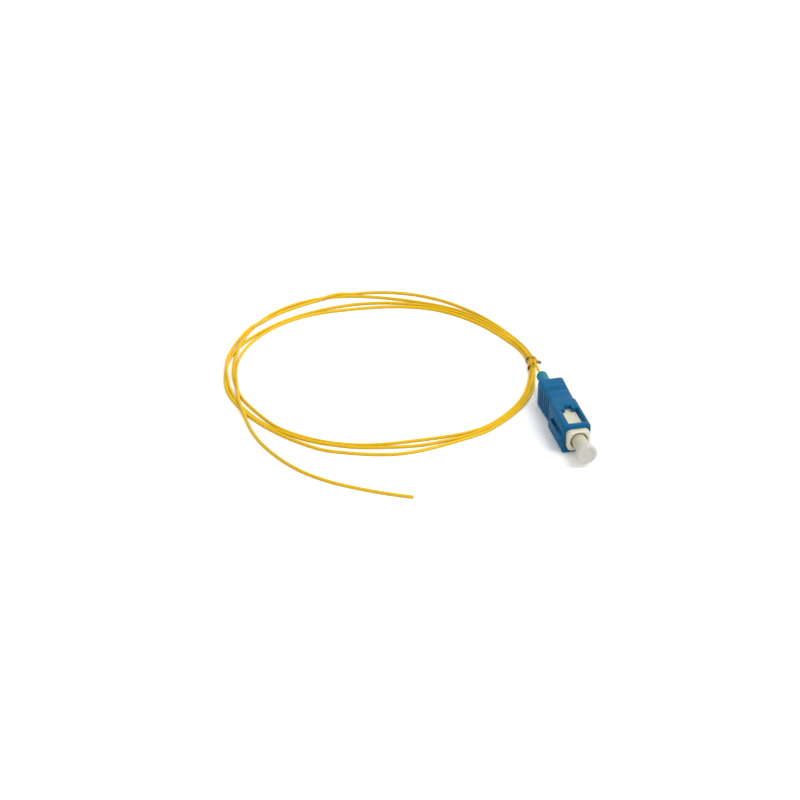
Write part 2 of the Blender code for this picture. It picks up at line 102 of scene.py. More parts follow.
def link(obj: bpy.types.Object) -> bpy.types.Object:
    """Puts a new object in the scene and returns it."""
    bpy.context.scene.collection.objects.link(obj)
    return obj


def mesh_from(name: str, shape: bmesh.types.BMesh) -> bpy.types.Mesh:
    """Turns a bmesh into a mesh with its faces out.

    Args:
        name: the mesh's name.
        shape: the bmesh, which is freed.

    Returns:
        The new mesh.
    """
    bmesh.ops.recalc_face_normals(shape, faces=shape.faces)
    mesh = bpy.data.meshes.new(name)
    shape.to_mesh(mesh)
    shape.free()
    return mesh


def turned(profile: Profile) -> bpy.types.Mesh:
    """Turns a profile round the connector's axis.

    Args:
        profile: (t, radius) points. Ends on the axis give a solid, and others are closed into a tube.

    Returns:
        A closed mesh.
    """
    shape = bmesh.new()
    rings = []
    for t, radius in profile:
        if radius == 0:
            rings.append([shape.verts.new((0.0, t, 0.0))] * ROUND_STEPS)
            continue
        ring = []
        for i in range(ROUND_STEPS):
            angle = 2 * math.pi * i / ROUND_STEPS
            ring.append(shape.verts.new((radius * math.cos(angle), t, radius * math.sin(angle))))
        rings.append(ring)
    count = len(rings) if profile[0][1] > 0 else len(rings) - 1
    for j in range(count):
        near = rings[j]
        far = rings[(j + 1) % len(rings)]
        for i in range(ROUND_STEPS):
            k = (i + 1) % ROUND_STEPS
            corners = list(dict.fromkeys((near[i], near[k], far[k], far[i])))
            if len(corners) > 2:
                shape.faces.new(corners)
    return mesh_from("turned", shape)


def rounded(width: float, height: float, corner: float, lower: float = 0.0) -> Outline:
    """The (x, z) outline of a rectangle with round corners.

    Args:
        width: its size along x.
        height: its size along z.
        corner: the corners' radius.
        lower: the radius of the two lower corners, where it differs.

    Returns:
        The outline's points, in order.
    """
    points = []
    for quarter, (side, up) in enumerate(((1, 1), (-1, 1), (-1, -1), (1, -1))):
        radius = lower if lower and up < 0 else corner
        for i in range(ARC_STEPS + 1):
            angle = math.pi / 2 * (quarter + i / ARC_STEPS)
            x = side * (width / 2 - radius) + radius * math.cos(angle)
            z = up * (height / 2 - radius) + radius * math.sin(angle)
            points.append((x, z))
    return points


def arc(t: float, radius: float, size: float, start: float, end: float) -> Profile:
    """A round edge in a turned profile.

    Args:
        t: the arc's centre along the axis.
        radius: the arc's centre away from the axis.
        size: the arc's own radius.
        start: where it starts, in degrees from +t towards the outside.
        end: where it ends.

    Returns:
        The arc's profile points.
    """
    points = []
    for i in range(ARC_STEPS + 1):
        angle = math.radians(start + (end - start) * i / ARC_STEPS)
        points.append((t + size * math.cos(angle), radius + size * math.sin(angle)))
    return points


def lofted(sections: list[tuple[float, Outline]]) -> bpy.types.Mesh:
    """Skins outlines placed along the connector's axis and caps both ends.

    Args:
        sections: (t, outline) pairs whose outlines have as many points.

    Returns:
        A closed mesh.
    """
    shape = bmesh.new()
    rings = []
    for t, outline in sections:
        rings.append([shape.verts.new((x, t, z)) for x, z in outline])
    for near, far in zip(rings, rings[1:]):
        for i in range(len(near)):
            k = (i + 1) % len(near)
            shape.faces.new((near[i], near[k], far[k], far[i]))
    shape.faces.new(rings[0])
    shape.faces.new(rings[-1])
    return mesh_from("lofted", shape)


def block(low: tuple[float, float, float], high: tuple[float, float, float]) -> bpy.types.Mesh:
    """A box between two corners.

    Args:
        low: one corner, as (x, t, z).
        high: the opposite corner.

    Returns:
        A closed mesh.
    """
    size = [abs(b - a) for a, b in zip(low, high)]
    centre = [(a + b) / 2 for a, b in zip(low, high)]
    shape = bmesh.new()
    matrix = Matrix.Translation(centre) @ Matrix.Diagonal((*size, 1.0))
    bmesh.ops.create_cube(shape, size=1.0, matrix=matrix)
    return mesh_from("block", shape)


@dataclass(frozen=True)
class Edge:
    """How far a worked piece's edges are softened."""

    width: float
    segments: int = 2
    from_angle: float = 30.0


def worked(
    mesh: bpy.types.Mesh, joined: tuple[bpy.types.Mesh, ...], cut: tuple[bpy.types.Mesh, ...], edge: Edge
) -> bpy.types.Mesh:
    """Joins helper meshes on, cuts others away and softens the edges.

    Args:
        mesh: the stock.
        joined: meshes to unite with it.
        cut: meshes to take away.
        edge: the rounding of its edges.

    Returns:
        The finished mesh.
    """
    piece = link(bpy.data.objects.new("stock", mesh))
    helpers = []
    for operation, meshes in (("UNION", joined), ("DIFFERENCE", cut)):
        for helper_mesh in meshes:
            helper = link(bpy.data.objects.new("helper", helper_mesh))
            helpers.append(helper)
            modifier = piece.modifiers.new("boolean", "BOOLEAN")
            modifier.operation = operation
            modifier.solver = "EXACT"
            modifier.object = helper
    modifier = piece.modifiers.new("edges", "BEVEL")
    modifier.width = edge.width
    modifier.segments = edge.segments
    modifier.limit_method = "ANGLE"
    modifier.angle_limit = math.radians(edge.from_angle)
    bpy.context.view_layer.update()
    graph = bpy.context.evaluated_depsgraph_get()
    result = bpy.data.meshes.new_from_object(piece.evaluated_get(graph))
    for spent in (piece, *helpers):
        spent_mesh = spent.data
        bpy.data.objects.remove(spent)
        bpy.data.meshes.remove(spent_mesh)
    return result


def seated(name: str, mesh: bpy.types.Mesh, origin: Vector, sharp: float = 35.0) -> bpy.types.Object:
    """Scales a millimetre mesh to metres, moves it to its place and shades it.

    Args:
        name: the object's name.
        mesh: the mesh, in millimetres.
        origin: where its own origin goes, in metres.
        sharp: edges that turn by more than this many degrees stay crisp.

    Returns:
        The object, in the scene.
    """
    mesh.transform(Matrix.Translation(origin) @ Matrix.Scale(MM, 4))
    mesh.shade_smooth()
    mesh.set_sharp_from_angle(angle=math.radians(sharp))
    mesh.name = name
    return link(bpy.data.objects.new(name, mesh))


def catmull_rom(knots: list[Vector], steps: int) -> list[Vector]:
    """Points along a smooth curve through knots.

    Args:
        knots: the points to pass through.
        steps: points for each span.

    Returns:
        The curve's points, the last knot included.
    """
    padded = [2 * knots[0] - knots[1], *knots, 2 * knots[-1] - knots[-2]]
    points = []
    for a, b, c, d in zip(padded, padded[1:], padded[2:], padded[3:]):
        for i in range(steps):
            s = i / steps
            square = (2 * a - 5 * b + 4 * c - d) * s**2
            cube = (3 * b - a - 3 * c + d) * s**3
            points.append(0.5 * (2 * b + (c - a) * s + square + cube))
    points.append(knots[-1].copy())
    return points


def evenly(points: list[Vector], step: float) -> list[Vector]:
    """Points a step apart along a line of points.

    Args:
        points: the line.
        step: the wanted distance.

    Returns:
        New points, with both ends kept.
    """
    places = np.array(points)
    runs = np.concatenate([[0.0], np.cumsum(np.linalg.norm(np.diff(places, axis=0), axis=1))])
    count = max(2, round(runs[-1] / step)) + 1
    wanted = np.linspace(0.0, runs[-1], count)
    columns = [np.interp(wanted, runs, places[:, i]) for i in range(3)]
    return [Vector(place) for place in np.stack(columns, axis=1)]


def smoothed(points: list[Vector], rounds: int) -> list[Vector]:
    """Evens out a line's corners, with its ends kept.

    Args:
        points: the line.
        rounds: how often each point moves half way to its neighbours' middle.

    Returns:
        The smoother line.
    """
    places = np.array(points)
    for _ in range(rounds):
        places[1:-1] += 0.5 * (0.5 * (places[:-2] + places[2:]) - places[1:-1])
    return [Vector(place) for place in places]


def tube(name: str, points: list[Vector], diameter: float, sides: int = 6) -> bpy.types.Object:
    """A round curve with closed ends along points.

    Args:
        name: the object's name.
        points: its centreline, in metres.
        diameter: its thickness, in metres.
        sides: Blender's bevel resolution.

    Returns:
        A curve of one open spline.
    """
    curve = bpy.data.curves.new(name, "CURVE")
    curve.dimensions = "3D"
    curve.bevel_depth = diameter / 2
    curve.bevel_resolution = sides
    curve.use_fill_caps = True
    spline = curve.splines.new("POLY")
    spline.points.add(len(points) - 1)
    for target, point in zip(spline.points, points):
        target.co = (*point, 1.0)
    spline.use_smooth = True
    return link(bpy.data.objects.new(name, curve))


class NodeTree:
    """A material's or a group's nodes, with short ways to add and link them."""

    first_colour: ClassVar[int] = 6
    second_colour: ClassVar[int] = 7
    mixed_colour: ClassVar[int] = 2

    def __init__(self, tree: bpy.types.NodeTree) -> None:
        """Keeps the tree."""
        self.tree = tree

    def add(self, kind: str, **settings: object) -> bpy.types.Node:
        """Adds a node.

        Args:
            kind: the node's type, such as ShaderNodeMath.
            **settings: values for the node's own properties.

        Returns:
            The new node.
        """
        node = self.tree.nodes.new(kind)
        for name, value in settings.items():
            setattr(node, name, value)
        return node

    def feed(self, value: object, socket: bpy.types.NodeSocket) -> None:
        """Links a socket to another, or sets its value.

        Args:
            value: an output socket, or the value itself.
            socket: the input.
        """
        if isinstance(value, bpy.types.NodeSocket):
            self.tree.links.new(value, socket)
        else:
            socket.default_value = value

    def math(self, operation: str, first: object, second: object) -> bpy.types.NodeSocket:
        """A Math node.

        Args:
            operation: what it does, such as MULTIPLY.
            first: the first value or socket.
            second: the second value or socket.

        Returns:
            Its result.
        """
        node = self.add("ShaderNodeMath", operation=operation)
        self.feed(first, node.inputs[0])
        self.feed(second, node.inputs[1])
        return node.outputs[0]

    def ramp(self, value: object, low: float, high: float) -> bpy.types.NodeSocket:
        """Maps a value from low and high to 0 and 1, clamped.

        Args:
            value: the socket to map.
            low: what becomes 0.
            high: what becomes 1.

        Returns:
            The mapped value.
        """
        node = self.add("ShaderNodeMapRange")
        self.feed(value, node.inputs["Value"])
        self.feed(low, node.inputs["From Min"])
        self.feed(high, node.inputs["From Max"])
        return node.outputs["Result"]

    def noise(self, place: object, scale: object, detail: float = 2.0) -> bpy.types.NodeSocket:
        """A Noise texture.

        Args:
            place: where it is read.
            scale: its frequency, per metre.
            detail: how many finer layers it has.

        Returns:
            Its value.
        """
        node = self.add("ShaderNodeTexNoise")
        self.feed(place, node.inputs["Vector"])
        self.feed(scale, node.inputs["Scale"])
        self.feed(detail, node.inputs["Detail"])
        return node.outputs["Fac"]

    def mix(self, share: object, first: object, second: object) -> bpy.types.NodeSocket:
        """Mixes two colours.

        Args:
            share: how much of the second.
            first: a colour or a socket.
            second: a colour or a socket.

        Returns:
            The mixed colour.
        """
        node = self.add("ShaderNodeMix", data_type="RGBA")
        self.feed(share, node.inputs["Factor"])
        self.feed(first, node.inputs[self.first_colour])
        self.feed(second, node.inputs[self.second_colour])
        return node.outputs[self.mixed_colour]

    def group(self, tree: bpy.types.NodeTree, **values: object) -> bpy.types.Node:
        """Places a shared group and sets its inputs.

        Args:
            tree: the group.
            **values: a value or socket for each input, by name.

        Returns:
            The group node.
        """
        node = self.add("ShaderNodeGroup", node_tree=tree)
        for name, value in values.items():
            self.feed(value, node.inputs[name])
        return node


@dataclass(frozen=True)
class SharedEffects:
    """The node groups that more than one finish uses."""

    moulded_grain: bpy.types.NodeTree
    handling: bpy.types.NodeTree
    tint_drift: bpy.types.NodeTree

    slow_waves: ClassVar[float] = 0.09
    streak_stretch: ClassVar[tuple[float, float, float]] = (1.0, 0.12, 1.0)
    streak_fineness: ClassVar[float] = 14.0
    streak_from: ClassVar[float] = 0.58
    streak_to: ClassVar[float] = 0.75
    streak_share: ClassVar[float] = 0.6

    @classmethod
    def build(cls) -> "SharedEffects":
        """Makes each group once."""
        return cls(cls.make_grain(), cls.make_handling(), cls.make_drift())

    @staticmethod
    def start(name: str, inputs: dict[str, float], output: str) -> tuple:
        """Starts a group that has number inputs and one number output.

        Args:
            name: the group's name.
            inputs: each input's name and default value.
            output: the output's name.

        Returns:
            The tree's helper, its inputs, the place on the piece and the output.
        """
        tree = bpy.data.node_groups.new(name, "ShaderNodeTree")
        for key, value in inputs.items():
            socket = tree.interface.new_socket(key, in_out="INPUT", socket_type="NodeSocketFloat")
            socket.default_value = value
        tree.interface.new_socket(output, in_out="OUTPUT", socket_type="NodeSocketFloat")
        nodes = NodeTree(tree)
        place = nodes.add("ShaderNodeTexCoord").outputs["Object"]
        return nodes, nodes.add("NodeGroupInput").outputs, place, nodes.add("NodeGroupOutput").inputs[0]

    @classmethod
    def make_grain(cls) -> bpy.types.NodeTree:
        """The fine pitted skin that a moulding tool leaves, with slow waves under it."""
        nodes, given, place, height = cls.start("moulded_grain", {"Fineness": 4000.0, "Waves": 0.3}, "Height")
        pits = nodes.noise(place, given["Fineness"], detail=3.0)
        slow = nodes.noise(place, nodes.math("MULTIPLY", given["Fineness"], cls.slow_waves), detail=1.0)
        nodes.feed(nodes.math("ADD", pits, nodes.math("MULTIPLY", slow, given["Waves"])), height)
        return nodes.tree

    @classmethod
    def make_handling(cls) -> bpy.types.NodeTree:
        """Where fingers and shelves have dulled or polished a surface: patches and fine streaks."""
        inputs = {"Roughness": 0.4, "Spread": 0.1, "Patch Size": 300.0}
        nodes, given, place, roughness = cls.start("handling", inputs, "Roughness")
        patches = nodes.noise(place, given["Patch Size"])
        stretch = nodes.add("ShaderNodeMapping")
        nodes.feed(place, stretch.inputs["Vector"])
        stretch.inputs["Scale"].default_value = cls.streak_stretch
        fineness = nodes.math("MULTIPLY", given["Patch Size"], cls.streak_fineness)
        lines = nodes.noise(stretch.outputs["Vector"], fineness)
        streaks = nodes.math("MULTIPLY", nodes.ramp(lines, cls.streak_from, cls.streak_to), cls.streak_share)
        both = nodes.math("ADD", nodes.math("SUBTRACT", patches, 0.5), streaks)
        shift = nodes.math("MULTIPLY", both, given["Spread"])
        nodes.feed(nodes.math("ADD", given["Roughness"], shift), roughness)
        return nodes.tree

    @classmethod
    def make_drift(cls) -> bpy.types.NodeTree:
        """A mask that drifts slowly from 0 to 1 across a piece, for uneven colour."""
        nodes, given, place, mask = cls.start("tint_drift", {"Patch Size": 250.0, "Contrast": 0.3}, "Mask")
        patches = nodes.noise(place, given["Patch Size"], detail=3.0)
        low = nodes.math("SUBTRACT", 0.5, given["Contrast"])
        high = nodes.math("ADD", 0.5, given["Contrast"])
        nodes.feed(nodes.ramp(patches, low, high), mask)
        return nodes.tree


@dataclass(frozen=True)
class Fade:
    """A change from a finish's shade to its colour between two places along an axis, in metres. On the tie it
    is painted shade, darker low down.
    """

    axis: str
    shade_at: float
    colour_at: float
    unevenness: float = 0.2


@dataclass(frozen=True)
class Surface:
    """How one material looks: its colours, gloss, grain and softness."""

    colour: tuple[float, float, float]
    shade: tuple[float, float, float]
    roughness: float = 0.4
    spread: float = 0.12
    patch_size: float = 300.0
    contrast: float = 0.3
    grain: float = 4000.0
    grain_waves: float = 0.4
    grain_depth: float = 0.004
    grain_strength: float = 0.35
    specular: float = 0.35
    soft: float = 0.0
    soft_radius: tuple[float, float, float] = (1.0, 1.0, 1.0)
    soft_scale: float = 1.0 * MM
    metallic: float = 0.0
    fade: Fade | None = None

    def material(self, name: str, effects: SharedEffects) -> bpy.types.Material:
        """Builds the finish.

        Args:
            name: the material's name.
            effects: the shared groups.

        Returns:
            The material.
        """
        made = bpy.data.materials.new(name)
        made.use_nodes = True
        nodes = NodeTree(made.node_tree)
        shader = made.node_tree.nodes["Principled BSDF"]
        patch = {"Patch Size": self.patch_size}
        drift = nodes.group(effects.tint_drift, Contrast=self.contrast, **patch)
        share = drift.outputs["Mask"]
        if self.fade:
            place = nodes.add("ShaderNodeTexCoord").outputs["Object"]
            apart = nodes.add("ShaderNodeSeparateXYZ")
            nodes.feed(place, apart.inputs["Vector"])
            run = nodes.ramp(apart.outputs[self.fade.axis], self.fade.shade_at, self.fade.colour_at)
            drifting = nodes.math("MULTIPLY", nodes.math("SUBTRACT", share, 0.5), self.fade.unevenness)
            share = nodes.math("ADD", run, drifting)
        colour = nodes.mix(share, (*self.shade, 1.0), (*self.colour, 1.0))
        nodes.feed(colour, shader.inputs["Base Color"])
        wear = nodes.group(effects.handling, Roughness=self.roughness, Spread=self.spread, **patch)
        nodes.feed(wear.outputs["Roughness"], shader.inputs["Roughness"])
        skin = nodes.group(effects.moulded_grain, Fineness=self.grain, Waves=self.grain_waves)
        bump = nodes.add("ShaderNodeBump")
        bump.inputs["Strength"].default_value = self.grain_strength
        bump.inputs["Distance"].default_value = self.grain_depth * MM
        nodes.feed(skin.outputs["Height"], bump.inputs["Height"])
        nodes.feed(bump.outputs["Normal"], shader.inputs["Normal"])
        even = {
            "Specular IOR Level": self.specular,
            "Metallic": self.metallic,
            "Subsurface Weight": self.soft,
            "Subsurface Radius": self.soft_radius,
            "Subsurface Scale": self.soft_scale,
        }
        for name, value in even.items():
            shader.inputs[name].default_value = value
        return made


@dataclass
class Finishes:
    """Every material of the pigtail, by slot."""

    effects: SharedEffects
    made: dict[Slot, bpy.types.Material] = field(default_factory=dict)

    def build(self) -> None:
        """Makes each slot's material."""
        surfaces = {
            Slot.GRIP: Surface((0.004, 0.138, 0.31), (0.002, 0.116, 0.275), 0.42, specular=0.12),
            Slot.FRAME: Surface((0.80, 0.79, 0.63), (0.75, 0.74, 0.57), 0.4, grain_depth=0.003),
            Slot.CERAMIC: Surface(
                (0.86, 0.86, 0.84),
                (0.8, 0.8, 0.79),
                0.15,
                spread=0.03,
                grain=12000.0,
                grain_depth=0.001,
                specular=0.6,
            ),
            Slot.METAL: Surface((0.62, 0.60, 0.56), (0.52, 0.5, 0.47), 0.28, grain=7000.0, metallic=1.0),
            Slot.BOOT: Surface(
                (0.028, 0.26, 0.385),
                (0.016, 0.215, 0.32),
                0.5,
                spread=0.15,
                grain=2600.0,
                grain_depth=0.007,
                specular=0.14,
            ),
            Slot.CAP: Surface(
                (0.645, 0.62, 0.56),
                (0.63, 0.595, 0.44),
                0.4,
                spread=0.08,
                grain=3000.0,
                grain_depth=0.003,
                soft=0.4,
                soft_scale=1.2 * MM,
                fade=Fade("Y", -16.0 * MM, -21.0 * MM),
            ),
            Slot.FIBRE: Surface(
                (0.90, 0.58, 0.005), (0.84, 0.51, 0.004), 0.34, grain=6000.0, grain_depth=0.003, specular=0.22
            ),
            # Painted shade: the tie's colour fades from dark brown below 1.4 mm to golden above 2.2 mm, so
            # its lower side and twist look shaded.
            Slot.TIE: Surface(
                (0.64, 0.40, 0.03),
                (0.07, 0.028, 0.006),
                0.22,
                spread=0.2,
                patch_size=900.0,
                specular=0.6,
                fade=Fade("Z", 1.4 * MM, 2.2 * MM),
            ),
        }
        for slot, surface in surfaces.items():
            self.made[slot] = surface.material(slot.value, self.effects)

    def dress(self, piece: bpy.types.Object, slot: Slot) -> None:
        """Gives a piece a slot's material."""
        piece.data.materials.clear()
        piece.data.materials.append(self.made[slot])


@dataclass(frozen=True)
class PhotoCamera:
    """The camera at the photograph's viewpoint, aimed at a point on the floor."""

    target: tuple[float, float, float] = (-42.03 * MM, 25.99 * MM, 0.0)
    distance: float = 712.0 * MM
    elevation: float = 32.23
    azimuth: float = 14.047
    sensor: float = 36.0
    lens: float = 108.0
    seen_from: float = 0.05
    seen_to: float = 20.0

    def build(self) -> None:
        """Places the camera and makes it the scene's."""
        rise = math.radians(self.elevation)
        turn = math.radians(self.azimuth)
        level = math.cos(rise)
        forward = Vector((math.sin(turn) * level, math.cos(turn) * level, -math.sin(rise)))
        data = bpy.data.cameras.new("photo_camera")
        data.sensor_width = self.sensor
        data.lens = self.lens
        data.clip_start = self.seen_from
        data.clip_end = self.seen_to
        camera = link(bpy.data.objects.new("photo_camera", data))
        camera.location = Vector(self.target) - self.distance * forward
        camera.rotation_euler = forward.to_track_quat("-Z", "Y").to_euler()
        bpy.context.scene.camera = camera
        LOG.info("camera at %s", tuple(round(x, 4) for x in camera.location))


@dataclass(frozen=True)
class Studio:
    """A white sweep under a broad light from the right, in a room that is dimmer on the left."""

    floor_size: float = 6.0
    floor_seen: float = 1.22
    floor_bounce: float = 0.85
    floor_roughness: float = 0.9
    room_left: float = 0.5
    room_right: float = 1.12
    room_edge: float = 0.9
    light_strength: float = 1.0
    light_angle: float = 35.0
    light_from: tuple[float, float, float] = (0.5, -0.35, 1.0)

    def build(self) -> None:
        """Makes the floor, the light and the room."""
        shape = bmesh.new()
        bmesh.ops.create_grid(shape, x_segments=1, y_segments=1, size=self.floor_size / 2)
        floor = link(bpy.data.objects.new("floor", mesh_from("floor", shape)))
        white = bpy.data.materials.new("white_sweep")
        white.use_nodes = True
        nodes = NodeTree(white.node_tree)
        shader = white.node_tree.nodes["Principled BSDF"]
        seen = nodes.add("ShaderNodeLightPath").outputs["Is Camera Ray"]
        dim = (*[self.floor_bounce] * 3, 1.0)
        bright = (*[self.floor_seen] * 3, 1.0)
        nodes.feed(nodes.mix(seen, dim, bright), shader.inputs["Base Color"])
        shader.inputs["Roughness"].default_value = self.floor_roughness
        shader.inputs["Specular IOR Level"].default_value = 0.0
        floor.data.materials.append(white)

        light = bpy.data.lights.new("broad_light", "SUN")
        light.energy = self.light_strength
        light.angle = math.radians(self.light_angle)
        lamp = link(bpy.data.objects.new("broad_light", light))
        lamp.rotation_euler = (-Vector(self.light_from)).to_track_quat("-Z", "Y").to_euler()

        world = bpy.data.worlds.new("room")
        bpy.context.scene.world = world
        world.use_nodes = True
        sky = NodeTree(world.node_tree)
        direction = sky.add("ShaderNodeTexCoord").outputs["Generated"]
        apart = sky.add("ShaderNodeSeparateXYZ")
        sky.feed(direction, apart.inputs["Vector"])
        side = sky.ramp(apart.outputs["X"], -self.room_edge, self.room_edge)
        span = self.room_right - self.room_left
        strength = sky.math("ADD", sky.math("MULTIPLY", side, span), self.room_left)
        background = world.node_tree.nodes["Background"]
        background.inputs["Color"].default_value = (1.0, 1.0, 1.0, 1.0)
        sky.feed(strength, background.inputs["Strength"])
        bpy.context.scene.view_settings.view_transform = "Standard"


@dataclass
class Piece:
    """Shared steps of every sub-assembly: dressing, riding and reporting."""

    finishes: Finishes

    def add(
        self, piece: bpy.types.Object, body: Body, slot: Slot, replaced: tuple[str, ...] = ()
    ) -> bpy.types.Object:
        """Dresses a finished piece, makes it ride and hides the CAD nodes that it replaces.

        Args:
            piece: the object, in place.
            body: the body it moves with.
            slot: its material slot.
            replaced: the CAD nodes that it stands for.

        Returns:
            The piece.
        """
        self.finishes.dress(piece, slot)
        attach(piece, body.value)
        if replaced:
            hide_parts(*replaced)
        LOG.info("%s rides on %s", piece.name, body.value)
        return piece


@dataclass(frozen=True)
class Grooves:
    """A row of finger grooves, repeated on the opposite side of the sleeve."""

    count: int
    start: float
    pitch: float
    width: float
    depth: float
    margin: float


@dataclass
class Grip(Piece):
    """The blue push-pull sleeve: stepped and waisted block, key, windows, bore and finger grooves."""

    width: float = 8.3
    height: float = 9.0
    length: float = 26.4
    corner: float = 1.2
    lower_corner: float = 0.5
    end_bevel: float = 0.2
    front_shift: float = -0.2
    front_block: float = 13.9
    ramp: float = 0.8
    ramp_steps: int = 4
    waist_inset: float = 0.45
    rear_inset: float = 0.2
    flare_power: float = 1.5
    flare_steps: int = 6
    chamber_width: float = 7.2
    chamber_height: float = 6.5
    chamber_corner: float = 1.6
    chamber_end: float = 13.4
    cavity_radius: float = 3.1
    rear_wall: float = 1.4
    hole_radius: float = 2.8
    key_width: float = 2.0
    key_proud: float = 0.95
    key_start: float = 0.3
    key_end: float = 10.4
    slot_start: float = 3.4
    slot_end: float = 9.8
    slot_width: float = 0.6
    window_start: float = 1.1
    window_end: float = 8.9
    window_width: float = 4.8
    window_draft: float = 20.0
    notch_end: float = 10.7
    notch_width: float = 2.1
    side_grooves: Grooves = Grooves(count=5, start=16.0, pitch=1.8, width=0.8, depth=0.3, margin=0.9)
    top_grooves: Grooves = Grooves(count=2, start=20.0, pitch=1.1, width=0.35, depth=0.2, margin=0.6)
    past: float = 0.5
    edge: Edge = Edge(0.09)

    def inset(self, t: float) -> float:
        """How far the skin lies inside the front block's, at t.

        Args:
            t: the distance behind the front edge.

        Returns:
            The inset on each side.
        """
        waist = self.front_block + self.ramp
        if t <= self.front_block:
            return 0.0
        if t < waist:
            share = (t - self.front_block) / self.ramp
            return self.waist_inset * (0.5 - 0.5 * math.cos(math.pi * share))
        share = (t - waist) / (self.length - waist)
        return self.waist_inset + (self.rear_inset - self.waist_inset) * share**self.flare_power

    def section(self, t: float, bevel: float = 0.0) -> tuple[float, Outline]:
        """The outline at t.

        Args:
            t: the distance behind the front edge.
            bevel: how far the end's bevel narrows it here.

        Returns:
            The place and the outline.
        """
        inset = self.inset(t)
        less = 2 * (inset + bevel)
        shift = 0.0
        if t < self.side_grooves.start:
            shift = self.front_shift * max(0.0, 1.0 - inset / self.waist_inset)
        outline = rounded(self.width - less, self.height - less, self.corner, self.lower_corner)
        return t, [(x + shift, z) for x, z in outline]

    def stock(self) -> bpy.types.Mesh:
        """Lofts the sleeve's outer shape.

        Returns:
            The solid stock.
        """
        waist = self.front_block + self.ramp
        rear = self.length - self.end_bevel
        places = [self.front_block + self.ramp * i / self.ramp_steps for i in range(self.ramp_steps + 1)]
        places += [waist + (rear - waist) * i / self.flare_steps for i in range(1, self.flare_steps + 1)]
        sections = [self.section(0.0, self.end_bevel), self.section(self.end_bevel)]
        sections += [self.section(t) for t in places]
        sections.append(self.section(self.length, self.end_bevel))
        return lofted(sections)

    def grooved(self, row: Grooves, across: float, along: float, upright: bool) -> list[bpy.types.Mesh]:
        """Cutters for one row of grooves and its repeat on the opposite side.

        Args:
            row: the grooves.
            across: the front block's size between the two grooved sides.
            along: its size in the direction that a groove runs.
            upright: whether they run up the left and right sides, and not across the top and bottom.

        Returns:
            The cutters.
        """
        cutters = []
        half = along / 2 - self.waist_inset - row.margin
        for i in range(row.count):
            start = row.start + i * row.pitch
            end = start + row.width
            skin = across / 2 - self.inset(start)
            for side in (-1, 1):
                low = (side * (skin - row.depth), start, -half)
                high = (side * (skin + self.past), end, half)
                cutters.append(block(low, high) if upright else block(low[::-1], high[::-1]))
        return cutters

    def draft(self, up: int) -> bpy.types.Mesh:
        """A tilted cutter that opens a window's side away from the key towards the outside.

        Args:
            up: 1 for the top window, and -1 for the bottom one.

        Returns:
            The cutter.
        """
        side = self.window_width / 2
        foot = up * self.chamber_height / 2
        top = up * (self.height / 2 + self.past)
        cutter = block((side - self.past, self.window_start, foot), (side, self.window_end, top))
        pivot = Matrix.Translation((side, 0.0, foot))
        tilt = Matrix.Rotation(math.radians(up * self.window_draft), 4, "Y")
        cutter.transform(pivot @ tilt @ pivot.inverted())
        return cutter

    def build(self) -> None:
        """Makes the sleeve."""
        side = self.width / 2 - self.front_shift
        key = block(
            (-side - self.key_proud, self.key_start, -self.key_width / 2),
            (-side + self.past, self.key_end, self.key_width / 2),
        )
        slot = block((-side - self.slot_width, self.slot_start, -side), (-side, self.slot_end, side))
        bore_outline = rounded(self.chamber_width, self.chamber_height, self.chamber_corner)
        chamber = lofted([(-self.past, bore_outline), (self.chamber_end, bore_outline)])
        wall = self.length - self.rear_wall
        cavity = turned(
            [
                (self.chamber_end - self.past, 0.0),
                (self.chamber_end - self.past, self.cavity_radius),
                (wall, self.cavity_radius),
                (wall, self.hole_radius),
                (self.length + self.past, self.hole_radius),
                (self.length + self.past, 0.0),
            ]
        )
        reach = self.height / 2 + self.past
        half = self.window_width / 2
        window = block((-half, self.window_start, -reach), (half, self.window_end, reach))
        half = self.notch_width / 2
        notch = block((-half, self.window_end - self.past, -reach), (half, self.notch_end, reach))
        drafts = [self.draft(up) for up in (-1, 1)]
        grooves = self.grooved(self.side_grooves, self.width, self.height, True)
        grooves += self.grooved(self.top_grooves, self.height, self.width, False)
        cutters = (slot, chamber, cavity, window, notch, *drafts, *grooves)
        mesh = worked(self.stock(), (key,), cutters, self.edge)
        self.add(seated("push_pull_grip", mesh, plug_origin()), Body.GRIP, Slot.GRIP, ("grip_housing",))


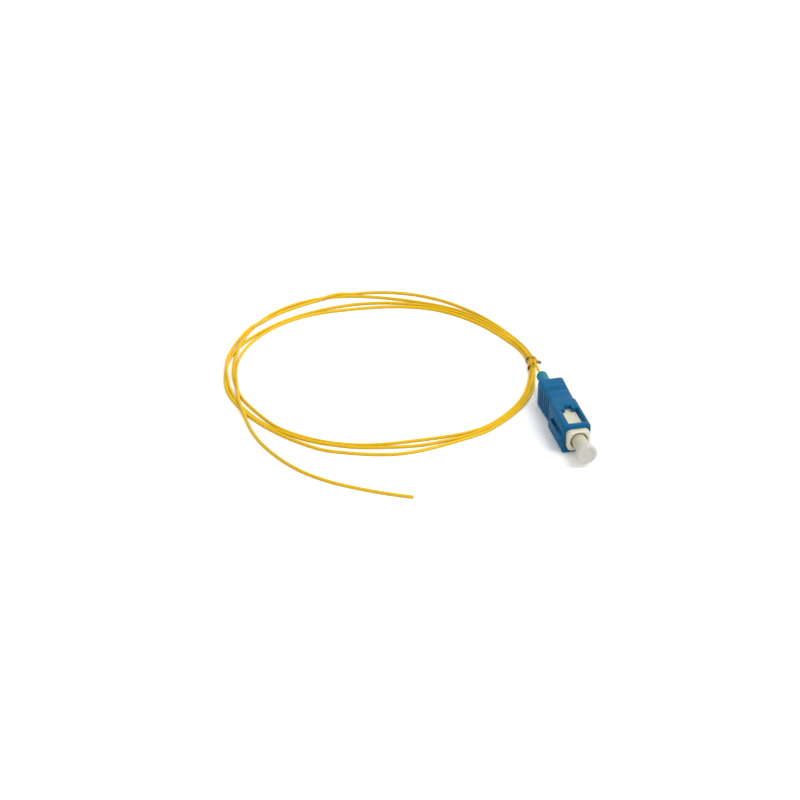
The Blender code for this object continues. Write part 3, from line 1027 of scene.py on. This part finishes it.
@dataclass
class PlugFrame(Piece):
    """The cream plug frame: round-cornered block, barrel, stepped bore and a shallow panel on each flat."""

    width: float = 6.8
    height: float = 6.1
    corner: float = 1.4
    front: float = -1.7
    front_bevel: float = 0.25
    block_end: float = 11.5
    barrel_radius: float = 2.9
    barrel_end: float = 18.5
    mouth_radius: float = 2.5
    mouth_lip: float = 0.25
    mouth_end: float = 6.6
    neck_radius: float = 1.95
    neck_end: float = 7.8
    rear_bore_radius: float = 2.5
    panel_width: float = 3.3
    panel_start: float = 2.6
    panel_end: float = 10.9
    panel_depth: float = 0.12
    past: float = 0.5
    edge: Edge = Edge(0.06)

    def bore(self) -> bpy.types.Mesh:
        """The cutter for the stepped bore, with a lip at its mouth.

        Returns:
            The cutter.
        """
        lip = self.mouth_radius + self.mouth_lip
        return turned(
            [
                (self.front - self.past, 0.0),
                (self.front - self.past, lip + self.past),
                (self.front, lip),
                (self.front + self.mouth_lip, self.mouth_radius),
                (self.mouth_end, self.mouth_radius),
                (self.mouth_end, self.neck_radius),
                (self.neck_end, self.neck_radius),
                (self.neck_end, self.rear_bore_radius),
                (self.barrel_end + self.past, self.rear_bore_radius),
                (self.barrel_end + self.past, 0.0),
            ]
        )

    def build(self) -> None:
        """Makes the frame."""
        less = 2 * self.front_bevel
        near = rounded(self.width - less, self.height - less, self.corner - self.front_bevel)
        full = rounded(self.width, self.height, self.corner)
        sections = [(self.front, near), (self.front + self.front_bevel, full), (self.block_end, full)]
        barrel = turned(
            [
                (self.block_end - self.past, 0.0),
                (self.block_end - self.past, self.barrel_radius),
                (self.barrel_end, self.barrel_radius),
                (self.barrel_end, 0.0),
            ]
        )
        half = self.panel_width / 2
        panels = []
        for up in (-1, 1):
            inner = up * (self.height / 2 - self.panel_depth)
            outer = up * (self.height / 2 + self.past)
            panels.append(block((-half, self.panel_start, inner), (half, self.panel_end, outer)))
        mesh = worked(lofted(sections), (barrel,), (self.bore(), *panels), self.edge)
        self.add(seated("plug_body", mesh, plug_origin()), Body.PLUG, Slot.FRAME, ("plug_frame",))


@dataclass
class DustCap(Piece):
    """The milky dust cap: a tube over the ferrule with a dished, round-edged head."""

    face: float = -9.3
    head_radius: float = 3.1
    head_length: float = 2.0
    head_round: float = 0.55
    dish: float = 0.08
    dish_radius: float = 2.1
    gate_radius: float = 0.35
    stem_radius: float = 2.15
    stem_back: float = 2.8
    stem_round: float = 0.15
    bore_radius: float = 1.35
    bore_end: float = -3.0

    def build(self) -> None:
        """Makes the cap."""
        edge = self.head_radius - self.head_round
        back = self.face + self.head_length
        profile = [
            (self.face + self.dish / 2, 0.0),
            (self.face + self.dish / 2, self.gate_radius),
            (self.face + self.dish, self.gate_radius + self.dish),
            (self.face + self.dish, self.dish_radius),
            (self.face, self.dish_radius + 2 * self.dish),
        ]
        profile += arc(self.face + self.head_round, edge, self.head_round, 180, 90)
        profile += arc(back - self.head_round, edge, self.head_round, 90, 0)
        foot = self.stem_radius + self.stem_round
        rim = self.stem_radius - self.stem_round
        profile += [(back, foot)]
        profile += arc(back + self.stem_round, foot, self.stem_round, 180, 270)[1:]
        profile += arc(self.stem_back - self.stem_round, rim, self.stem_round, 90, 0)
        profile += [
            (self.stem_back, self.bore_radius),
            (self.bore_end, self.bore_radius),
            (self.bore_end, 0.0),
        ]
        cap = seated("dust_cap_moulding", turned(profile), plug_origin())
        self.add(cap, Body.CAP, Slot.CAP, ("dust_cap",))


@dataclass
class Boot(Piece):
    """The teal strain relief boot: stout base, soft taper and a slim neck with a rounded lip."""

    start: float = 20.3
    base_radius: float = 2.5
    base_end: float = 27.5
    neck_start: float = 29.9
    neck_radius: float = 1.7
    waist_radius: float = 1.62
    lip_radius: float = 1.68
    lip_length: float = 1.2
    end: float = 35.3
    end_round: float = 0.5
    hole_radius: float = 0.6
    socket_radius: float = 1.9
    socket_end: float = 25.8
    taper_steps: int = 8

    def build(self) -> None:
        """Makes the boot."""
        profile = [(self.start, self.socket_radius), (self.start, self.base_radius)]
        for i in range(self.taper_steps + 1):
            share = i / self.taper_steps
            ease = 0.5 - 0.5 * math.cos(math.pi * share)
            t = self.base_end + (self.neck_start - self.base_end) * share
            profile.append((t, self.base_radius + (self.neck_radius - self.base_radius) * ease))
        profile.append((self.end - 2 * self.lip_length, self.waist_radius))
        profile.append((self.end - self.lip_length, self.lip_radius))
        profile += arc(self.end - self.end_round, self.lip_radius - self.end_round, self.end_round, 90, 0)
        profile += [
            (self.end, self.hole_radius),
            (self.socket_end, self.hole_radius),
            (self.socket_end, self.socket_radius),
        ]
        self.add(seated("bend_relief_boot", turned(profile), plug_origin()), Body.PLUG, Slot.BOOT, ("boot",))


@dataclass
class FerruleSet(Piece):
    """The ceramic ferrule with its polished dome, seen when the cap is off, and the inner metal parts."""

    tip: float = -2.0
    length: float = 10.5
    radius: float = FERRULE_DIAMETER / 2
    chamfer_run: float = 0.55
    dome: float = 0.06
    dome_radius: float = 0.8

    def build(self) -> None:
        """Makes the ferrule and dresses the metal parts behind it."""
        end = self.tip + self.length
        profile = [
            (self.tip, 0.0),
            (self.tip + self.dome / 4, self.dome_radius / 2),
            (self.tip + self.dome, self.dome_radius),
            (self.tip + self.dome + self.chamfer_run, self.radius),
            (end, self.radius),
            (end, 0.0),
        ]
        pin = seated("ceramic_ferrule", turned(profile), plug_origin(), sharp=20.0)
        self.add(pin, Body.FERRULE, Slot.CERAMIC, ("ferrule",))
        for node in ("ferrule_holder", "ferrule_spring", "stop_body"):
            self.finishes.dress(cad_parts[node], Slot.METAL)
            LOG.info("%s keeps its solid", node)


@dataclass
class FibreRoute:
    """The fibre's centreline, in millimetres until it is read out in metres.

    Each of its turns gives distances from the coil's centre, by the angle round it in degrees. Each of
    its humps is a turn and the angles between which it lies on another. climb and apart count in radii.
    """

    centre: tuple[float, float] = (-44.1, 43.2)
    tie_angle: float = -10.3
    radius: float = FIBRE_DIAMETER / 2
    lead: tuple[tuple[float, float, float], ...] = (
        (0.5, 19.3, 4.5), (0.5, 22.3, 4.5), (0.55, 25.2, 4.35), (0.85, 28.0, 3.9), (1.35, 30.6, 3.2),
    )
    tail: tuple[tuple[float, float, float], ...] = (
        (-88.3, 22.8, 0.47), (-87.8, 17.5, 0.47), (-86.2, 11.0, 0.47), (-83.7, 4.6, 0.47),
        (-80.9, -0.9, 0.47), (-77.6, -5.7, 0.47), (-73.2, -10.4, 0.47), (-68.3, -14.4, 0.47),
        (-61.7, -18.8, 0.47), (-55.0, -22.7, 0.47), (-50.8, -24.7, 0.47),
    )
    turns: ClassVar[tuple[dict[int, float], ...]] = (
        {
            -13: 47.1, -9: 47.05, -3: 46.5, 3: 45.95, 10: 45.45, 20: 45.15, 30: 45.3, 40: 45.75, 50: 46.5,
            60: 47.2, 70: 47.6, 80: 47.6, 88: 47.25, 94: 46.85, 102: 46.65, 120: 46.7, 136: 46.75,
            146: 46.9, 154: 46.65, 162: 46.3, 170: 46.1, 180: 45.8, 190: 45.6, 200: 45.3, 210: 44.9,
            220: 44.1, 230: 43.7, 240: 43.0, 250: 42.75, 270: 42.95, 280: 43.3, 290: 44.3, 300: 45.2,
            310: 45.6, 320: 46.05, 330: 46.3, 343: 46.2,
        },
        {
            -9: 46.2, 0: 45.4, 10: 44.1, 20: 43.1, 30: 42.75, 40: 42.4, 50: 41.9, 60: 41.35, 70: 41.0,
            80: 40.8, 90: 40.7, 100: 40.7, 110: 41.2, 120: 41.9, 130: 42.9, 140: 44.1, 147: 45.1, 155: 46.0,
            162: 46.35, 170: 46.5, 180: 46.9, 190: 46.4, 200: 45.8, 210: 45.5, 220: 45.7, 230: 46.1,
            240: 46.4, 265: 46.2, 295: 45.95, 305: 46.25, 315: 46.7, 325: 47.05, 333: 47.1, 343: 46.75,
        },
        {
            -9: 46.66, 0: 45.85, 10: 44.95, 20: 44.2, 30: 44.05, 40: 43.8, 50: 43.3, 60: 43.05, 70: 43.6,
            80: 44.8, 88: 46.2, 95: 47.1, 105: 48.0, 115: 48.2, 125: 47.7, 136: 46.65, 141: 46.0, 147: 45.3,
            153: 44.8, 160: 44.4, 170: 43.95, 180: 43.7, 190: 43.5, 210: 43.3, 220: 43.1, 230: 42.6,
            240: 42.1, 250: 41.4, 260: 40.6, 270: 40.2, 280: 41.0, 290: 42.7, 300: 44.35, 310: 44.75,
            320: 45.15, 330: 45.45, 343: 45.7,
        },
        {
            -9: 45.75, 0: 44.95, 10: 43.2, 20: 42.05, 30: 41.45, 40: 40.95, 50: 40.6, 60: 39.6, 70: 38.7,
            80: 38.0, 90: 37.9, 100: 38.7, 110: 39.9, 120: 40.9, 130: 41.8, 140: 42.5, 150: 43.1, 160: 43.4,
            170: 43.45, 180: 43.6, 185: 44.3, 189: 45.4, 193: 46.0, 197: 46.4, 201: 47.5,
        },
    )
    humps: tuple[tuple[int, float, float], ...] = (
        (0, -20.0, -5.0),
        (0, 340.0, 360.0),
        (1, -20.0, 2.0),
        (0, 90.0, 98.0),
        (0, 131.0, 172.0),
        (2, 144.0, 150.0),
        (3, 181.0, 199.0),
    )
    ramp: float = 8.0
    climb: float = 2.05
    tie_lift: float = 0.42
    tie_ramp: float = 9.0
    lead_drop: float = 0.9
    lead_points: int = 13
    span_steps: int = 12
    spacing: float = 1.0
    rounds: int = 60
    neighbours: int = 8
    out_of_reach: float = 1000.0
    apart: float = 2.02
    sinking: float = 0.02
    pushing: float = 0.6
    homing: float = 0.04
    smoothing: float = 0.3

    def height(self, turn: int, angle: float) -> float:
        """How high a turn's centre runs, where it lies on another or climbs over one.

        Args:
            turn: which turn, from 0.
            angle: degrees round the coil.

        Returns:
            Millimetres above the floor.
        """
        lift = 0.0
        for lifted, start, end in self.humps:
            if lifted != turn:
                continue
            away = max(start - angle, angle - end, 0.0) / self.ramp
            lift = max(lift, 0.5 + 0.5 * math.cos(math.pi * min(1.0, away)))
        return self.radius + self.climb * self.radius * lift

    def ground(self, place: Vector) -> float:
        """How low the fibre's centre may lie here, where the tie may pass under it.

        Args:
            place: a point of the centreline.

        Returns:
            Millimetres above the floor.
        """
        angle = math.degrees(math.atan2(place[1] - self.centre[1], place[0] - self.centre[0]))
        away = min(1.0, abs(angle - self.tie_angle) / self.tie_ramp)
        return self.radius + self.tie_lift * (0.5 + 0.5 * math.cos(math.pi * away))

    def coil(self) -> list[Vector]:
        """Works out the turns' points from their knots.

        Returns:
            Knots of the coil in millimetres, from the tie to where the free end leaves.
        """
        points = []
        for turn, knots in enumerate(self.turns):
            for angle, distance in knots.items():
                x = self.centre[0] + distance * math.cos(math.radians(angle))
                y = self.centre[1] + distance * math.sin(math.radians(angle))
                height = self.height(turn, angle)
                if turn == 0 and angle < self.tie_angle:
                    height += self.lead_drop
                points.append(Vector((x, y, height)))
        return points

    def settle(self, points: list[Vector]) -> list[Vector]:
        """Lets the turns rest on each other and on the floor, a diameter apart.

        Args:
            points: the centreline, in millimetres.

        Returns:
            The settled centreline.
        """
        places = np.array(points)
        home = places.copy()
        order = np.arange(len(places))
        same_stretch = np.abs(order[:, None] - order[None, :]) < self.neighbours
        wide = self.apart * self.radius
        held = order < self.lead_points
        ground = np.array([self.ground(place) for place in places])
        for _ in range(self.rounds):
            gap = places[:, None, :] - places[None, :, :]
            far = np.linalg.norm(gap, axis=2)
            far[same_stretch] = self.out_of_reach
            close = far < wide
            push = gap / far[:, :, None] * (wide - far)[:, :, None] * 0.5
            shift = np.where(close[:, :, None], push, 0.0).sum(axis=1)
            shift[~close.any(axis=1) & ~held, 2] -= self.sinking
            places += self.pushing * shift
            places[:, :2] += self.homing * (home - places)[:, :2]
            middle = 0.5 * (places[:-2] + places[2:])
            places[1:-1] += self.smoothing * (middle - places[1:-1])
            places[:, 2] = np.maximum(places[:, 2], ground)
            places[held] = home[held]
        return [Vector(place) for place in places]

    def points(self) -> list[Vector]:
        """Reads out the whole route.

        Returns:
            The centreline in metres, from inside the boot to the bare end.
        """
        knots = [Vector(place) for place in self.lead]
        knots += self.coil()
        knots += [Vector(place) for place in self.tail]
        line = self.settle(evenly(catmull_rom(knots, self.span_steps), self.spacing))
        return [place * MM for place in line]


@dataclass
class TwistTie(Piece):
    """A golden-brown wire wrapped twice round the bundle, with its ends twisted together. Its lower side and
    the twist are painted dark brown as painted shade.
    """

    route: FibreRoute
    line: list[Vector]
    wire: float = 0.55
    slack: float = 0.02
    spread: float = 2.2
    wraps: int = 2
    steps: int = 48
    pair_radius: float = 0.31
    pair_length: float = 1.2
    pair_turns: float = 1.1
    pair_steps: int = 40
    pair_rise: float = -0.1
    pair_swing: float = 0.3
    foot_angle: float = -0.2
    spacing: float = 0.08
    smooth_rounds: int = 6
    sides: int = 4

    def __post_init__(self) -> None:
        """Works out the tie's directions and the strands that it holds."""
        turn = math.radians(self.route.tie_angle)
        self.outward = Vector((math.cos(turn), math.sin(turn), 0.0))
        self.along = Vector((-math.sin(turn), math.cos(turn), 0.0))
        self.middle = Vector((*self.route.centre, 0.0))
        self.strands = self.bundle()

    def bundle(self) -> list[tuple[float, float]]:
        """Finds where the strands pass the tie.

        Returns:
            Each strand's distance from the coil's centre and height, in millimetres.
        """
        strands = []
        for a, b in zip(self.line, self.line[1:]):
            near = a / MM - self.middle
            far = b / MM - self.middle
            if near.dot(self.along) < 0 <= far.dot(self.along) and near.dot(self.outward) > 0:
                strands.append((near.dot(self.outward), near.z))
        LOG.info("the tie holds %d strands", len(strands))
        return strands

    def hull(self, angle: float) -> tuple[float, float]:
        """The wire's place round the strands in one direction.

        Args:
            angle: the direction from the bundle's middle, in radians, 0 being outwards.

        Returns:
            The wire's distance from the coil's centre and its height.
        """
        across = math.cos(angle)
        up = math.sin(angle)
        far = max(self.strands, key=lambda strand: strand[0] * across + strand[1] * up)
        reach = (FIBRE_DIAMETER + self.wire) / 2 + self.slack
        return far[0] + reach * across, max(far[1] + reach * up, self.wire / 2)

    def place(self, distance: float, aside: float, height: float) -> Vector:
        """A point beside the tie's plane.

        Args:
            distance: how far it is from the coil's centre, in millimetres.
            aside: how far it is along the fibre from the tie's plane.
            height: how far it is above the floor.

        Returns:
            The point, in metres.
        """
        spot = self.middle + self.outward * distance + self.along * aside
        spot.z = height
        return spot * MM

    def twisted(self, phase: float) -> list[Vector]:
        """One of the two twisted ends, from the bundle outwards.

        Args:
            phase: where round the pair it starts, in radians.

        Returns:
            The wire's points.
        """
        distance, height = self.hull(self.foot_angle)
        points = []
        for i in range(1, self.pair_steps + 1):
            share = i / self.pair_steps
            angle = phase + 2 * math.pi * self.pair_turns * share
            run = self.pair_length * share
            rise = self.pair_rise * run + self.pair_radius * math.sin(angle)
            aside = self.pair_radius * math.cos(angle) - self.pair_swing * run
            points.append(self.place(distance + run, aside, height + rise))
        return points

    def wrapped(self, wrap: int) -> list[Vector]:
        """One wrap round the bundle. The first starts at the twisted ends, and the last stops there.

        Args:
            wrap: which wrap, from 0.

        Returns:
            The wire's points.
        """
        side = 2 * wrap / (self.wraps - 1) - 1
        start = self.foot_angle if wrap == 0 else 0.0
        end = 2 * math.pi + (0.0 if wrap == 0 else self.foot_angle)
        points = []
        for i in range(self.steps + 1):
            angle = start + (end - start) * i / self.steps
            aside = side * (self.pair_radius + self.spread * (1 - math.cos(angle)) / 2)
            distance, height = self.hull(angle)
            points.append(self.place(distance, aside, height))
        return points

    def build(self) -> bpy.types.Object:
        """Makes the tie round the fibre.

        Returns:
            The tie.
        """
        points = self.twisted(math.pi)[::-1]
        for wrap in range(self.wraps):
            points += self.wrapped(wrap)
        points += self.twisted(0.0)
        points = smoothed(evenly(points, self.spacing * MM), self.smooth_rounds)
        tie = tube("wire_tie", points, self.wire * MM, self.sides)
        return self.add(tie, Body.PLUG, Slot.TIE, ("twist_tie",))


@dataclass
class Fibre(Piece):
    """The buffered fibre, from the boot round the coil to its cut end."""

    route: FibreRoute = field(default_factory=FibreRoute)

    def build(self) -> None:
        """Makes the fibre along its centreline, in metres."""
        self.line = self.route.points()
        self.piece = tube("buffered_fibre", self.line, FIBRE_DIAMETER * MM)
        self.add(self.piece, Body.PLUG, Slot.FIBRE, ("fibre_lead", "fibre_coil", "fibre_tail"))
        self.length = sum((b - a).length for a, b in zip(self.line, self.line[1:]))
        LOG.info("fibre %.3f m long", self.length)

    def declare(self, tie: bpy.types.Object) -> None:
        """Does nothing with the fibre or its tie.

        Args:
            tie: the wire tie; not used.
        """


def main() -> None:
    """Builds the looks in order."""
    logging.basicConfig(level=logging.INFO, format="%(name)s: %(message)s")
    PhotoCamera().build()
    Studio().build()
    finishes = Finishes(SharedEffects.build())
    finishes.build()
    fibre = Fibre(finishes)
    fibre.build()
    fibre.declare(TwistTie(finishes, fibre.route, fibre.line).build())
    for assembly in (Grip, PlugFrame, DustCap, Boot, FerruleSet):
        assembly(finishes).build()


if __name__ == "__main__":
    main()
